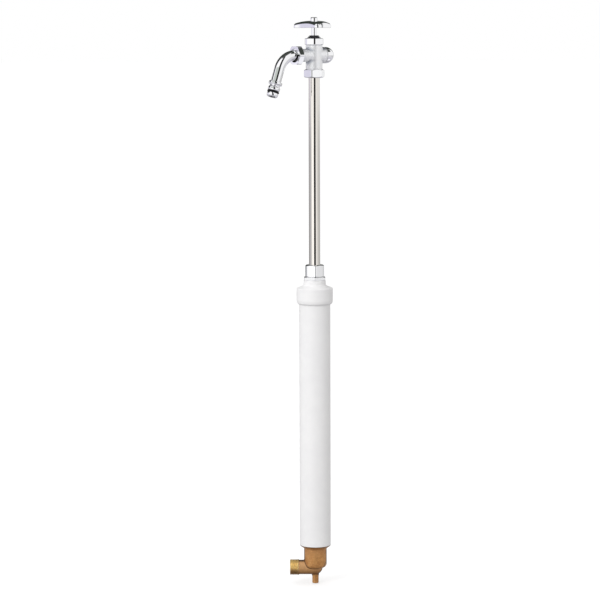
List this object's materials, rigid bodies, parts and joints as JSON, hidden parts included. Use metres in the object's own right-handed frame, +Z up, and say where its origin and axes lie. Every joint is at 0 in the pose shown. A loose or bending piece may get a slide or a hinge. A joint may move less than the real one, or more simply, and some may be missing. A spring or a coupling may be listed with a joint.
{
  "type": "frost-free standpipe tap",
  "caption": "Telescoping frost-free garden standpipe: three-lobed handle, swivel spout with hose nipple, riser sliding in a white-sleeved column, bronze foot valve.",
  "frame": {"origin": "on the column's axis, at the foot of the white sleeve, where the sleeve stands on the valve body", "axes": "+Z up along the column, -X out of the water inlet; the spout points to the front left, between -X and -Y"},
  "size_m": [0.1021, 0.0843, 0.8797],
  "materials": {
    "cast_bronze": "sand-cast bronze, dull brown",
    "machined_brass": "machined brass",
    "stainless_steel": "bright drawn stainless steel",
    "polished_chrome": "mirror chrome plate",
    "satin_chrome": "satin chrome over a casting",
    "white_pvc": "smooth white plastic",
    "black_rubber": "black rubber",
    "white_nylon": "natural nylon",
    "black_plastic": "black moulded plastic"
  },
  "bodies": {
    "column": {"valve_body": "cast_bronze", "valve_seat_ring": "stainless_steel", "port_collar": "machined_brass", "collar_o_rings": "black_rubber", "spindle_bush": "machined_brass", "guide_tube": "stainless_steel", "outer_sleeve": "white_pvc", "sleeve_cap": "white_pvc", "top_adaptor": "polished_chrome", "riser_packing": "black_rubber"},
    "lock_ring": {"lock_ring": "machined_brass"},
    "lock_nut": {"lock_nut": "polished_chrome"},
    "piston": {"valve_piston": "machined_brass", "piston_seat_disc": "black_rubber", "tail_o_ring": "black_rubber"},
    "rod": {"drive_rod": "stainless_steel"},
    "carriage": {"guide_bush": "white_nylon"},
    "riser": {"riser_pipe": "stainless_steel", "riser_foot": "machined_brass", "riser_o_rings": "black_rubber", "retaining_clip": "stainless_steel", "tap_body": "satin_chrome", "union_nut": "polished_chrome", "union_ferrule": "machined_brass", "union_packing": "black_rubber", "gland_nut": "polished_chrome", "gland_packing": "black_rubber", "gland_washer": "machined_brass", "thrust_ring": "machined_brass", "spout_nut": "polished_chrome", "spout_packing": "black_rubber", "spout_slip_ring": "white_nylon", "air_valve_cap": "polished_chrome", "air_valve_seat": "machined_brass"},
    "handle": {"handle": "polished_chrome", "handle_screw": "polished_chrome", "stem": "polished_chrome", "drive_tube": "stainless_steel", "drive_pin": "stainless_steel"},
    "spout": {"spout_tube": "polished_chrome", "hose_nipple": "polished_chrome", "nipple_o_ring": "black_rubber", "flow_straightener": "black_plastic"},
    "air_disc": {"air_valve_disc": "black_rubber", "air_valve_spring": "stainless_steel"}
  },
  "joints": [
    {"name": "height_adjust", "type": "slide", "parent": "column", "child": "carriage", "axis": [0, 0, 1], "range_m": [-0.276, 0]},
    {"name": "riser_swivel", "type": "hinge", "parent": "carriage", "child": "riser", "pos_m": [0, 0, 0.37], "axis": [0, 0, 1], "continuous": true},
    {"name": "handle_turn", "type": "hinge", "parent": "carriage", "child": "handle", "pos_m": [0, 0, 0.79], "axis": [0, 0, 1], "range_deg": [0, 720]},
    {"name": "valve_lift", "type": "slide", "parent": "column", "child": "piston", "axis": [0, 0, 1], "range_m": [0, 0.008]},
    {"name": "rod_turn", "type": "hinge", "parent": "piston", "child": "rod", "pos_m": [0, 0, 0.02], "axis": [0, 0, 1], "range_deg": [0, 720]},
    {"name": "spout_swivel", "type": "hinge", "parent": "riser", "child": "spout", "pos_m": [-0.024, -0.018, 0.7608], "axis": [-0.8, -0.6, 0], "continuous": true},
    {"name": "air_valve", "type": "slide", "parent": "riser", "child": "air_disc", "axis": [-0.8, -0.6, 0], "range_m": [0, 0.0015], "stiffness_N_per_m": 200, "springref_m": -0.004},
    {"name": "lock_lift", "type": "slide", "parent": "column", "child": "lock_ring", "axis": [0, 0, 1], "range_m": [0, 0.0015]},
    {"name": "lock_nut_turn", "type": "hinge", "parent": "lock_ring", "child": "lock_nut", "pos_m": [0, 0, 0.43], "axis": [0, 0, 1], "range_deg": [0, 360]}
  ],
  "couplings": [
    {"joint": "valve_lift", "follows": "handle_turn", "m_per_rad": 0.0006366},
    {"joint": "rod_turn", "follows": "handle_turn", "ratio": 1},
    {"joint": "lock_lift", "follows": "lock_nut_turn", "m_per_rad": 0.0002387}
  ]
}
